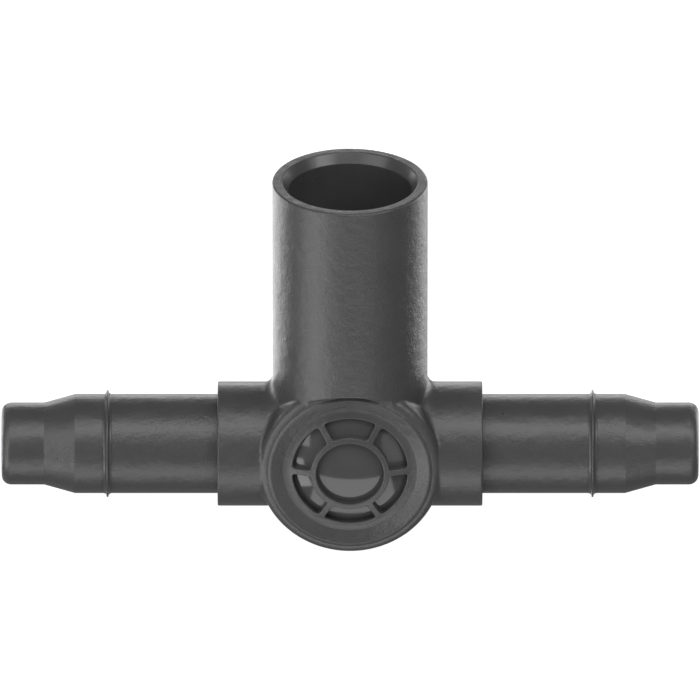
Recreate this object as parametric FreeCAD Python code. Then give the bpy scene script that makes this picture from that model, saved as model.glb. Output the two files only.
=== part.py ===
"""Barbed tee connector for irrigation tubing: two barbed run ends and a plain branch socket.

Millimetres, +Z up along the branch, +X along the run, -Y towards the front of the hub.
The origin is where the run axis and the branch axis cross.
Each piece is built about its own local Z axis, then turned to where it belongs.
"""
import FreeCAD
import Part
import math
import os

# Run: the straight line through both barbed ends, measured outwards from the origin.
HALF_LENGTH = 61.1
WATERWAY_R = 5.0
NOSE_R = 7.2
NOSE_ROUND = 1.7
NOSE_BORE_ROUND = 0.4
NOSE_END = 53.6
BARREL_START = 48.2
BARREL_R = 8.7
COLLAR_R = 10.9
COLLAR_END = 23.2
COLLAR_ROUND = 0.25
SOCKET_FLOOR = 16.0
TAIL_CHAMFER = 0.4

# Seal: a round-section ring in a groove on each insert's tail, inside the collar.
SEAL_AT = 19.0
SEAL_SECTION_R = 0.6
SEAL_GROOVE_HALF_WIDTH = 0.75

# Grip ring: a thin hoop with hollow flanks, its foot in a groove around each barrel.
RING_AT = 42.5
RING_TIP_R = 9.4
RING_SHOULDER_R = 9.28
RING_TIP_HALF_WIDTH = 0.18
GROOVE_R = 8.05
GROOVE_HALF_WIDTH = 0.75

# Hub: a short drum lying across the tee, recessed front and rear for the covers.
HUB_R = 16.0
HUB_HALF_DEPTH = 11.4
HUB_RIM_ROUND = 1.6
RECESS_R = HUB_R - HUB_RIM_ROUND
RECESS_FLOOR = 7.2
HUB_BLEND = 0.8

# Branch: the upright socket.
BRANCH_R = 13.58
BRANCH_TOP = 50.9
BRANCH_RIM_ROUND = 0.35
BRANCH_BLEND = 2.4
OVERHANG_R = 15.3
OVERHANG_ROUND = 0.25
LINER_R = 12.2
LINER_SEAT = 26.8
THROAT_R = 8.6
THROAT_START = 20.0
THROAT_END = 15.6

# Socket liner: the smooth sleeve that takes the riser pipe.
SOCKET_R = 10.75
SOCKET_STOP = 28.3
MOUTH_R = 11.85
MOUTH_DEPTH = 1.7
LINER_LIP_ROUND = 0.25

# Hub cover: a crowned disc inside a raised, inward-sloping lip, with a window and openings.
COVER_R = RECESS_R
CREST_R = 13.9
CREST_TOP = 11.7
CREST_ROUND = 0.25
DISH_R = 11.7
DISH_FLOOR = 10.76
CROWN_TOP = 13.0
CROWN_RADIUS = 28.0
CROWN_END_R = 10.4
WINDOW_R = 5.9
OPENING_INNER_R = 6.9
OPENING_OUTER_R = 10.1
RIB_COUNT = 6
RIB_WIDTH = 1.1
COVER_THICKNESS = 1.2
OPENING_CORNER_ROUND = 0.5
COVER_EDGE_ROUND = 0.16

# Backing disc: the glossy disc that closes the cover's openings from behind.
BACKING_R = 11.0

ORIGIN = FreeCAD.Vector(0, 0, 0)
X_AXIS = FreeCAD.Vector(1, 0, 0)
Y_AXIS = FreeCAD.Vector(0, 1, 0)
Z_AXIS = FreeCAD.Vector(0, 0, 1)
LEFT, RIGHT = -1, 1
FRONT, REAR = 1, -1
CUT_PAST = 10.0
TOUCHING = 0.002
SAME_EDGE = 0.01
PLACES_ON_EDGE = 9


def point(radius, height):
    """A point of a profile, in the plane that is turned about Z."""
    return FreeCAD.Vector(radius, 0, height)


def turned(*steps):
    """A solid of revolution about Z. A step is a corner, or (middle, end) of an arc."""
    edges = []
    here = steps[0]
    for step in steps[1:] + steps[:1]:
        if isinstance(step[0], tuple):
            middle, end = step
            edges.append(Part.Arc(point(*here), point(*middle), point(*end)).toShape())
        else:
            end = step
            edges.append(Part.LineSegment(point(*here), point(*end)).toShape())
        here = end
    return Part.Face(Part.Wire(edges)).revolve(ORIGIN, Z_AXIS, 360)


def disc(radius, low, high):
    """An upright cylinder between two heights."""
    return Part.makeCylinder(radius, high - low, FreeCAD.Vector(0, 0, low), Z_AXIS)


def along_run(shape, side):
    """Turns local Z to point out of the left or the right run end."""
    return shape.rotated(ORIGIN, Y_AXIS, 90 * side)


def out_of_hub(shape, face):
    """Turns local Z to point out of the hub's front or rear."""
    return shape.rotated(ORIGIN, X_AXIS, 90 * face)


def joined(first, *others):
    """One solid from several that overlap, with no seams left between smooth faces."""
    return first.fuse(others).removeSplitter().Solids[0]


def carved(shape, *hollows):
    """What is left of a solid when the hollows are taken out of it."""
    return shape.cut(hollows).Solids[0]


def ring_edges(shape, radius, height):
    """The round edges about Z at one radius and height."""
    found = []
    for edge in shape.Edges:
        if edge.Degenerated or not isinstance(edge.Curve, Part.Circle):
            continue
        curve = edge.Curve
        off_axis = math.hypot(curve.Center.x, curve.Center.y)
        off_height = abs(curve.Center.z - height)
        if max(off_axis, off_height, abs(curve.Radius - radius)) < SAME_EDGE:
            found.append(edge)
    return found


def follows(edge, surface):
    """Whether every part of an edge lies on a surface, given as a test of one place."""
    return all(surface(place) for place in edge.discretize(PLACES_ON_EDGE))


def crown_height(radius, depth=0.0):
    """How far out the crown stands at a radius, or the surface at a depth below the crown."""
    return CROWN_TOP - CROWN_RADIUS + math.sqrt((CROWN_RADIUS - depth) ** 2 - radius ** 2)


def arc_middle(start, end, slope_deg):
    """The middle of the arc that leaves the start at a slope and reaches the end."""
    across, up = end[0] - start[0], end[1] - start[1]
    chord = math.atan2(up, across)
    sag = math.hypot(across, up) / 2 * math.tan((chord - math.radians(slope_deg)) / 2)
    return ((start[0] + end[0]) / 2 + sag * math.sin(chord),
            (start[1] + end[1]) / 2 - sag * math.cos(chord))


def cover_blank():
    """The cover before its openings: crown, dish, raised lip and the backing disc's hollow."""
    dish = (DISH_R, DISH_FLOOR)
    crown_end = (CROWN_END_R, crown_height(CROWN_END_R))
    crown_slope = -math.degrees(math.asin(CROWN_END_R / CROWN_RADIUS))
    half_crown, half_back = CROWN_END_R / 2, BACKING_R / 2
    blank = turned(
        (BACKING_R, RECESS_FLOOR),
        (COVER_R, RECESS_FLOOR),
        (COVER_R, HUB_HALF_DEPTH),
        (CREST_R, CREST_TOP),
        dish,
        (arc_middle(crown_end, dish, crown_slope), crown_end),
        ((half_crown, crown_height(half_crown)), (0, CROWN_TOP)),
        (0, CROWN_TOP - COVER_THICKNESS),
        ((half_back, crown_height(half_back, COVER_THICKNESS)),
         (BACKING_R, crown_height(BACKING_R, COVER_THICKNESS))),
    )
    return blank.makeFillet(CREST_ROUND, ring_edges(blank, CREST_R, CREST_TOP))


def cover_openings():
    """The round window and the ring of openings between straight radial ribs."""
    top = CROWN_TOP + CUT_PAST
    ring = carved(disc(OPENING_OUTER_R, 0, top), disc(OPENING_INNER_R, 0, top))
    rib = Part.makeBox(OPENING_OUTER_R + CUT_PAST, RIB_WIDTH, top,
                       FreeCAD.Vector(0, -RIB_WIDTH / 2, 0))
    ribs = [rib.rotated(ORIGIN, Z_AXIS, 360 * turn / RIB_COUNT) for turn in range(RIB_COUNT)]
    openings = [disc(WINDOW_R, 0, top)]
    for opening in ring.cut(ribs).Solids:
        corners = [edge for edge in opening.Edges if edge.BoundBox.ZLength > CUT_PAST]
        openings.append(opening.makeFillet(OPENING_CORNER_ROUND, corners))
    return openings


def hub_cover():
    """A crowned disc pierced by a window and a ring of openings, with softened top edges."""
    cover = carved(cover_blank(), *cover_openings())

    def on_crown(place):
        radius = math.hypot(place.x, place.y)
        inside = radius < OPENING_OUTER_R + TOUCHING
        return inside and abs(place.z - crown_height(radius)) < TOUCHING

    lips = [edge for edge in cover.Edges if follows(edge, on_crown)]
    return cover.makeFillet(COVER_EDGE_ROUND, lips)


def backing_disc():
    """The disc behind the openings, its face parallel to the crown."""
    half_back = BACKING_R / 2
    return turned(
        (0, RECESS_FLOOR),
        (BACKING_R, RECESS_FLOOR),
        (BACKING_R, crown_height(BACKING_R, COVER_THICKNESS)),
        ((half_back, crown_height(half_back, COVER_THICKNESS)),
         (0, CROWN_TOP - COVER_THICKNESS)),
    )


def barb_insert():
    """One barbed end: a sealed tail for the collar, a barrel, a taper and a rounded nose."""
    seal_groove_r = BARREL_R - 2 * SEAL_SECTION_R
    insert = turned(
        (WATERWAY_R, SOCKET_FLOOR),
        (BARREL_R - TAIL_CHAMFER, SOCKET_FLOOR),
        (BARREL_R, SOCKET_FLOOR + TAIL_CHAMFER),
        (BARREL_R, SEAL_AT - SEAL_GROOVE_HALF_WIDTH),
        (seal_groove_r, SEAL_AT - SEAL_GROOVE_HALF_WIDTH),
        (seal_groove_r, SEAL_AT + SEAL_GROOVE_HALF_WIDTH),
        (BARREL_R, SEAL_AT + SEAL_GROOVE_HALF_WIDTH),
        (BARREL_R, RING_AT - GROOVE_HALF_WIDTH),
        (GROOVE_R, RING_AT - GROOVE_HALF_WIDTH),
        (GROOVE_R, RING_AT + GROOVE_HALF_WIDTH),
        (BARREL_R, RING_AT + GROOVE_HALF_WIDTH),
        (BARREL_R, BARREL_START),
        (NOSE_R, NOSE_END),
        (NOSE_R, HALF_LENGTH),
        (WATERWAY_R, HALF_LENGTH),
    )
    bore_lip = ring_edges(insert, WATERWAY_R, HALF_LENGTH)
    insert = insert.makeFillet(NOSE_BORE_ROUND, bore_lip)
    nose_lip = ring_edges(insert, NOSE_R, HALF_LENGTH)
    return insert.makeFillet(NOSE_ROUND, nose_lip)


def seal_ring():
    """The round-section ring that seals an insert's tail in its collar."""
    centre = FreeCAD.Vector(0, 0, SEAL_AT)
    return Part.makeTorus(BARREL_R - SEAL_SECTION_R, SEAL_SECTION_R, centre, Z_AXIS)


def grip_ring():
    """The hoop: a foot that fills the barrel's groove, and two hollow flanks up to a round tip."""
    foot = (BARREL_R, -GROOVE_HALF_WIDTH)
    shoulder = (RING_SHOULDER_R, -RING_TIP_HALF_WIDTH)
    hollow = arc_middle(foot, shoulder, 90)
    ring = turned(
        (GROOVE_R, -GROOVE_HALF_WIDTH),
        foot,
        (hollow, shoulder),
        ((RING_TIP_R, 0), (shoulder[0], -shoulder[1])),
        ((hollow[0], -hollow[1]), (foot[0], -foot[1])),
        (GROOVE_R, GROOVE_HALF_WIDTH),
    )
    return ring.translated(FreeCAD.Vector(0, 0, RING_AT))


def socket_liner():
    """The smooth sleeve inside the branch, with a tapered mouth and a stop for the pipe."""
    liner = turned(
        (THROAT_R, LINER_SEAT),
        (LINER_R, LINER_SEAT),
        (LINER_R, BRANCH_TOP),
        (MOUTH_R, BRANCH_TOP),
        (SOCKET_R, BRANCH_TOP - MOUTH_DEPTH),
        (SOCKET_R, SOCKET_STOP),
        (THROAT_R, SOCKET_STOP),
    )
    return liner.makeFillet(LINER_LIP_ROUND, ring_edges(liner, MOUTH_R, BRANCH_TOP))


def rounded_disc(radius, low, high, rounding):
    """An upright cylinder with both of its rims rounded."""
    plain = disc(radius, low, high)
    return plain.makeFillet(rounding, ring_edges(plain, radius, low) + ring_edges(plain, radius, high))


def on_collar(place):
    """Whether a place is on the collars' outer wall."""
    return abs(math.hypot(place.y, place.z) - COLLAR_R) < TOUCHING


def on_branch(place):
    """Whether a place is on the branch's outer wall."""
    return abs(math.hypot(place.x, place.y) - BRANCH_R) < TOUCHING


def on_drum(place):
    """Whether a place is on the drum: its flat face, its rounded rim or its wall."""
    radius, depth = math.hypot(place.x, place.z), abs(place.y)
    past_rim_radius = max(radius - (HUB_R - HUB_RIM_ROUND), 0)
    past_rim_depth = max(depth - (HUB_HALF_DEPTH - HUB_RIM_ROUND), 0)
    return abs(math.hypot(past_rim_radius, past_rim_depth) - HUB_RIM_ROUND) < TOUCHING


def crosses_drum(edge):
    """Whether an edge is where the drum meets another part, not one of the drum's own."""
    if not follows(edge, on_drum) or abs(edge.BoundBox.ZMax - edge.BoundBox.ZMin) < TOUCHING:
        return False
    places = edge.discretize(PLACES_ON_EDGE)
    depths = [abs(place.y) for place in places]
    radii = [math.hypot(place.x, place.z) for place in places]
    rim_circle = max(depths) - min(depths) < TOUCHING and max(radii) - min(radii) < TOUCHING
    drum_seam = edge.BoundBox.XMax - edge.BoundBox.XMin < TOUCHING and abs(places[0].x) < TOUCHING
    return not rim_circle and not drum_seam


def body_outside():
    """Branch, collars and hub drum in one solid with concave blends, not yet hollowed."""
    collars = along_run(rounded_disc(COLLAR_R, -COLLAR_END, COLLAR_END, COLLAR_ROUND), RIGHT)
    drum = out_of_hub(rounded_disc(HUB_R, -HUB_HALF_DEPTH, HUB_HALF_DEPTH, HUB_RIM_ROUND), FRONT)
    outside = joined(drum, collars, disc(BRANCH_R, 0, BRANCH_TOP))
    saddles = [edge for edge in outside.Edges
               if follows(edge, on_collar) and follows(edge, on_branch)]
    outside = outside.makeFillet(BRANCH_BLEND, saddles)
    outside = outside.makeFillet(HUB_BLEND, [edge for edge in outside.Edges if crosses_drum(edge)])
    return outside.makeFillet(BRANCH_RIM_ROUND, ring_edges(outside, BRANCH_R, BRANCH_TOP))


def hub_recess(face):
    """The round recess that takes a cover, and wider clearance through the branch before it."""
    seat = disc(RECESS_R, RECESS_FLOOR, BRANCH_R + CUT_PAST)
    clearance = disc(OVERHANG_R, HUB_HALF_DEPTH, BRANCH_R + CUT_PAST)
    return out_of_hub(joined(seat, clearance), face)


def run_passage():
    """The waterway along the run and the sockets for the barb inserts."""
    waterway = along_run(disc(WATERWAY_R, -COLLAR_END, COLLAR_END), RIGHT)
    socket = disc(BARREL_R, SOCKET_FLOOR, COLLAR_END + CUT_PAST)
    return waterway.fuse([along_run(socket, LEFT), along_run(socket, RIGHT)])


def branch_passage():
    """The waterway up the branch: a narrow bore, a widening throat and the liner's seat."""
    return turned(
        (0, 0),
        (WATERWAY_R, 0),
        (WATERWAY_R, THROAT_END),
        (THROAT_R, THROAT_START),
        (THROAT_R, LINER_SEAT),
        (LINER_R, LINER_SEAT),
        (LINER_R, BRANCH_TOP + CUT_PAST),
        (0, BRANCH_TOP + CUT_PAST),
    )


def tee_body():
    """The moulding, hollowed for water, inserts, liner and covers."""
    body = carved(body_outside(), hub_recess(FRONT), hub_recess(REAR))

    def on_clearance(place):
        return abs(math.hypot(place.x, place.z) - OVERHANG_R) < TOUCHING

    overhangs = [edge for edge in body.Edges if follows(edge, on_clearance) and follows(edge, on_branch)]
    body = body.makeFillet(OVERHANG_ROUND, overhangs)
    return carved(body, run_passage(), branch_passage())


def main():
    os.makedirs("parts", exist_ok=True)
    pieces = {"tee_body": tee_body(), "socket_liner": socket_liner()}
    for name, side in (("left", LEFT), ("right", RIGHT)):
        pieces[name + "_barb_insert"] = along_run(barb_insert(), side)
        pieces[name + "_seal_ring"] = along_run(seal_ring(), side)
        pieces[name + "_grip_ring"] = along_run(grip_ring(), side)
    for name, face in (("front", FRONT), ("rear", REAR)):
        pieces[name + "_cover"] = out_of_hub(hub_cover(), face)
        pieces[name + "_backing_disc"] = out_of_hub(backing_disc(), face)
    for name, shape in pieces.items():
        shape.exportStep("parts/" + name + ".step")
        print(name, "valid", shape.isValid(), "solids", len(shape.Solids), "mm3", round(shape.Volume, 1))


main()
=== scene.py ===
"""Looks for the barbed tee connector: moulded black plastic on a pale floor in soft light.

The CAD nodes keep their own shapes. This script gives them their materials and sets the
floor, the lights and the camera. Lengths are in metres, in the CAD model's own frame.
"""

import bpy
import math
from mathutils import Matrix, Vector


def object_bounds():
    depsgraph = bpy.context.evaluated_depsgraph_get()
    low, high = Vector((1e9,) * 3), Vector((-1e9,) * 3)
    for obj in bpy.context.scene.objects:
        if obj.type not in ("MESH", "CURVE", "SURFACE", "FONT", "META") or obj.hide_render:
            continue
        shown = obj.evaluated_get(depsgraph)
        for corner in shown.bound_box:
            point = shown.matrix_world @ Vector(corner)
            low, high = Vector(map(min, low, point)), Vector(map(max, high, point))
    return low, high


MM = 0.001

# Camera: a very long lens from the front, looking down. The lens grows with the distance,
# so that the object keeps its size in the picture.
CAMERA_ELEVATION_DEG = 25.8
CAMERA_DISTANCE = 4.34
LENS_MM_PER_METRE_AWAY = 293.9
CAMERA_AIM = Vector((0.0, 0.0, 18.2)) * MM
CAMERA_NEAR, CAMERA_FAR = 0.1, 50.0

# Surfaces: how wide their blobs and their worn edges with a painted highlight are, and how far they
# stray from the mean.
GRAIN_SIZE = 0.32 * MM
PEEL_SIZE = 1.8 * MM
BLOTCH_SIZE = 5.0 * MM
PEEL_DETAIL = 1.0
GRAIN_DETAIL = 3.0
BLOTCH_DETAIL = 4.0
FINE_NOISE_ROUGHNESS = 0.6
NOISE_LOW, NOISE_HIGH = 0.3, 0.7
SHADE_SPREAD = 0.14
GLOSS_SPREAD = 0.12
PLASTIC_IOR = 1.46

# Worn edges with a painted highlight: an edge is wherever a softened normal leaves the true one by
# this much or more. There the colour is painted paler, partly as wear and partly as an edge
# highlight.
EDGE_SOFTNESS = 0.2 * MM
BEVEL_SAMPLES = 4
FULLY_WORN_AND_HIGHLIT_AT = 0.9
LEAST_WEAR_AND_HIGHLIGHT = 0.2
WORN_HIGHLIT_SHADE_RATIO = 2.0

# Finishes. Each holds a name, its shade and roughness, the depths of its grain and of its
# orange peel, how much its edges are paled by wear and a painted highlight, and the CAD nodes that
# have it.
FINISHES = (
    ("grained_plastic", 0.04, 0.31, 0.07 * MM, 0.1 * MM, 0.5,
     ("tee_body", "left_barb_insert", "right_barb_insert", "front_cover", "rear_cover")),
    ("smooth_plastic", 0.043, 0.3, 0.01 * MM, 0.04 * MM, 0.5,
     ("socket_liner", "left_grip_ring", "right_grip_ring")),
    ("polished_plastic", 0.045, 0.08, 0.0005 * MM, 0.002 * MM, 0.0,
     ("front_backing_disc", "rear_backing_disc")),
    ("seal_rubber", 0.02, 0.6, 0.01 * MM, 0.01 * MM, 0.0,
     ("left_seal_ring", "right_seal_ring")),
)

# Floor and backdrop.
FLOOR_HALF_SIZE = 8.0
FLOOR_SHADE = 0.3
FLOOR_GLOW = 0.95
BACKDROP_LEVEL = 1.0

# Soft lights all round, as over and under a light table. Each line holds a name, the azimuth
# (0 is the front, 90 the right) and elevation it comes from in degrees, its width and height
# in metres and its power in watts.
LIGHT_DISTANCE = 1.5
SOFT_LIGHTS = (
    ("top_front", 0, 62, 1.0, 0.8, 11.0),
    ("upper_left", -48, 34, 1.0, 0.6, 5.5),
    ("upper_right", 52, 38, 0.8, 0.5, 8.0),
    ("right_side", 40, -8, 0.9, 0.6, 1.2),
    ("left_side", -48, 4, 1.0, 0.6, 6.5),
    ("low_left", -54, -29, 1.0, 0.6, 8.0),
    ("low_front", 3, -47, 1.4, 0.85, 9.0),
    ("back_left", -125, -8, 0.9, 0.9, 11.0),
    ("back_right", 132, -8, 1.1, 0.9, 9.5),
    ("back_low_left", -158, -22, 0.9, 0.5, 3.0),
    ("back_low_right", 158, -22, 0.9, 0.5, 0.6),
    ("back", 180, 8, 1.1, 0.6, 5.0),
)
WORLD_LEVEL = 0.25


def direction(azimuth_deg, elevation_deg):
    """The unit vector towards an azimuth (0 is the front, 90 the right) and an elevation."""
    azimuth, elevation = math.radians(azimuth_deg), math.radians(elevation_deg)
    return Vector((math.sin(azimuth) * math.cos(elevation),
                   -math.cos(azimuth) * math.cos(elevation),
                   math.sin(elevation)))


def socket(node, name):
    """A node's live input of that name, or at that place in the list."""
    if isinstance(name, int):
        return node.inputs[name]
    return next(found for found in node.inputs if found.name == name and found.enabled)


def grey(level):
    """A neutral colour."""
    return (level, level, level, 1.0)


class Nodes:
    """A short way to write a node tree: make nodes, link them, set their sockets."""

    def __init__(self, tree):
        self.tree = tree

    def make(self, kind, inputs=None, **settings):
        node = self.tree.nodes.new(kind)
        for name, value in settings.items():
            setattr(node, name, value)
        for name, value in (inputs or {}).items():
            if isinstance(value, bpy.types.NodeSocket):
                self.tree.links.new(value, socket(node, name))
            else:
                socket(node, name).default_value = value
        return node

    def noise(self, place, size, detail, roughness=0.5):
        """A noise value whose blobs are about a given size, in metres."""
        node = self.make("ShaderNodeTexNoise", {
            "Vector": place, "Scale": 1.0 / size, "Detail": detail, "Roughness": roughness})
        return node.outputs["Fac"]

    def spread(self, value, low, high):
        """A noise value turned into one that runs from low to high."""
        node = self.make("ShaderNodeMapRange", {
            "Value": value,
            "From Min": NOISE_LOW, "From Max": NOISE_HIGH,
            "To Min": low, "To Max": high})
        return node.outputs["Result"]

    def mix(self, share, one, other):
        """A colour between two others."""
        node = self.make("ShaderNodeMix", {"Factor": share, "A": one, "B": other}, data_type="RGBA")
        return node.outputs["Result"]

    def bump(self, height, depth, below=None):
        """A bump of a given depth in metres, on top of another if there is one."""
        inputs = {"Height": height, "Strength": 1.0, "Distance": depth}
        if below is not None:
            inputs["Normal"] = below
        return self.make("ShaderNodeBump", inputs).outputs["Normal"]


def worn_highlit_edges(n, softened, grain, wear_and_highlight):
    """How worn and painted-highlit each place is: most on sharp edges, and patchy with the grain.
    """
    true = n.make("ShaderNodeNewGeometry").outputs["Normal"]
    agreement = n.make("ShaderNodeVectorMath", {0: softened, 1: true}, operation="DOT_PRODUCT")
    edge = n.make("ShaderNodeMapRange", {
        "Value": agreement.outputs["Value"],
        "From Min": 1.0, "From Max": FULLY_WORN_AND_HIGHLIT_AT,
        "To Min": 0.0, "To Max": wear_and_highlight})
    patches = n.spread(grain, LEAST_WEAR_AND_HIGHLIGHT, 1.0)
    wear_and_highlight_mask = n.make("ShaderNodeMath", {0: edge.outputs["Result"], 1: patches}, operation="MULTIPLY")
    return wear_and_highlight_mask.outputs["Value"]


def plastic(name, shade, roughness, grain_depth, peel_depth, wear_and_highlight):
    """Moulded plastic: fine grain over a slow orange-peel wave, uneven gloss, pale edges of wear
    and painted highlight.
    """
    material = bpy.data.materials.new(name)
    material.use_nodes = True
    material.node_tree.nodes.clear()
    n = Nodes(material.node_tree)
    place = n.make("ShaderNodeTexCoord").outputs["Object"]
    peel = n.noise(place, PEEL_SIZE, PEEL_DETAIL)
    grain = n.noise(place, GRAIN_SIZE, GRAIN_DETAIL, FINE_NOISE_ROUGHNESS)
    blotch = n.noise(place, BLOTCH_SIZE, BLOTCH_DETAIL, FINE_NOISE_ROUGHNESS)
    colour = n.mix(blotch, grey(shade * (1 - SHADE_SPREAD)), grey(shade * (1 + SHADE_SPREAD)))
    softened = None
    if wear_and_highlight:
        bevel = n.make("ShaderNodeBevel", {"Radius": EDGE_SOFTNESS}, samples=BEVEL_SAMPLES)
        softened = bevel.outputs["Normal"]
        wear_and_highlight_mask = worn_highlit_edges(n, softened, grain, wear_and_highlight)
        # Paler edges: partly wear, partly a painted highlight standing in for rounded edges
        # catching the light.
        colour = n.mix(wear_and_highlight_mask, colour, grey(shade * WORN_HIGHLIT_SHADE_RATIO))
    normal = n.bump(peel, peel_depth, softened)
    normal = n.bump(grain, grain_depth, normal)
    gloss = n.spread(blotch, roughness * (1 - GLOSS_SPREAD), roughness * (1 + GLOSS_SPREAD))
    shader = n.make("ShaderNodeBsdfPrincipled", {
        "Base Color": colour, "Roughness": gloss, "IOR": PLASTIC_IOR, "Normal": normal})
    n.make("ShaderNodeOutputMaterial", {"Surface": shader.outputs["BSDF"]})
    return material


def dress(node, material):
    """Gives a CAD node its material."""
    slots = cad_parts[node].data.materials
    slots.clear()
    slots.append(material)


def make_materials():
    for *finish, nodes in FINISHES:
        material = plastic(*finish)
        for node in nodes:
            dress(node, material)


def make_floor():
    """A pale floor under the hub. Only the camera sees it, so light also comes up from under it."""
    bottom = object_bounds()[0].z
    half = FLOOR_HALF_SIZE
    corners = [(-half, -half, bottom), (half, -half, bottom),
               (half, half, bottom), (-half, half, bottom)]
    mesh = bpy.data.meshes.new("floor")
    mesh.from_pydata(corners, [], [(0, 1, 2, 3)])
    floor = bpy.data.objects.new("floor", mesh)
    bpy.context.scene.collection.objects.link(floor)
    floor.visible_diffuse = False
    floor.visible_glossy = False
    floor.visible_shadow = False
    material = bpy.data.materials.new("pale_floor")
    material.use_nodes = True
    material.node_tree.nodes.clear()
    n = Nodes(material.node_tree)
    surface = n.make("ShaderNodeBsdfDiffuse", {"Color": grey(FLOOR_SHADE)})
    glow = n.make("ShaderNodeEmission", {"Strength": FLOOR_GLOW})
    both = n.make("ShaderNodeAddShader")
    n.tree.links.new(surface.outputs["BSDF"], both.inputs[0])
    n.tree.links.new(glow.outputs["Emission"], both.inputs[1])
    n.make("ShaderNodeOutputMaterial", {"Surface": both.outputs["Shader"]})
    mesh.materials.append(material)


def make_lights():
    for name, azimuth, elevation, width, height, power in SOFT_LIGHTS:
        light = bpy.data.lights.new(name, "AREA")
        light.shape = "RECTANGLE"
        light.size, light.size_y, light.energy = width, height, power
        lamp = bpy.data.objects.new(name, light)
        away = direction(azimuth, elevation)
        lamp.location = away * LIGHT_DISTANCE
        lamp.rotation_euler = away.to_track_quat("Z", "Y").to_euler()
        lamp.visible_camera = False
        bpy.context.scene.collection.objects.link(lamp)


def make_world():
    """Faint light from everywhere, and a white backdrop that only the camera sees."""
    world = bpy.data.worlds.new("studio")
    world.use_nodes = True
    world.node_tree.nodes.clear()
    n = Nodes(world.node_tree)
    white = grey(1.0)
    ambient = n.make("ShaderNodeBackground", {"Color": white, "Strength": WORLD_LEVEL})
    backdrop = n.make("ShaderNodeBackground", {"Color": white, "Strength": BACKDROP_LEVEL})
    seen = n.make("ShaderNodeLightPath").outputs["Is Camera Ray"]
    mix = n.make("ShaderNodeMixShader", {"Fac": seen})
    n.tree.links.new(ambient.outputs["Background"], mix.inputs[1])
    n.tree.links.new(backdrop.outputs["Background"], mix.inputs[2])
    n.make("ShaderNodeOutputWorld", {"Surface": mix.outputs["Shader"]})
    bpy.context.scene.world = world


def make_camera():
    camera = bpy.data.cameras.new("camera")
    camera.lens = LENS_MM_PER_METRE_AWAY * CAMERA_DISTANCE
    camera.clip_start, camera.clip_end = CAMERA_NEAR, CAMERA_FAR
    holder = bpy.data.objects.new("camera", camera)
    away = direction(0.0, CAMERA_ELEVATION_DEG)
    holder.location = CAMERA_AIM + away * CAMERA_DISTANCE
    holder.rotation_euler = away.to_track_quat("Z", "Y").to_euler()
    bpy.context.scene.collection.objects.link(holder)
    bpy.context.scene.camera = holder
    bpy.context.scene.view_settings.view_transform = "Standard"


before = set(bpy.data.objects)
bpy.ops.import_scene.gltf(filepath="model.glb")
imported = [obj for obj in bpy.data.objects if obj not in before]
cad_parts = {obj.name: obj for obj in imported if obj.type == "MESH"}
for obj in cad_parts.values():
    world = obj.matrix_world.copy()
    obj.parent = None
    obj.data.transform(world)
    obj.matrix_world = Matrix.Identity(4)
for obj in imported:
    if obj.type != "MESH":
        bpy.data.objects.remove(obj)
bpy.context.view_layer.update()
make_materials()
make_floor()
make_lights()
make_world()
make_camera()
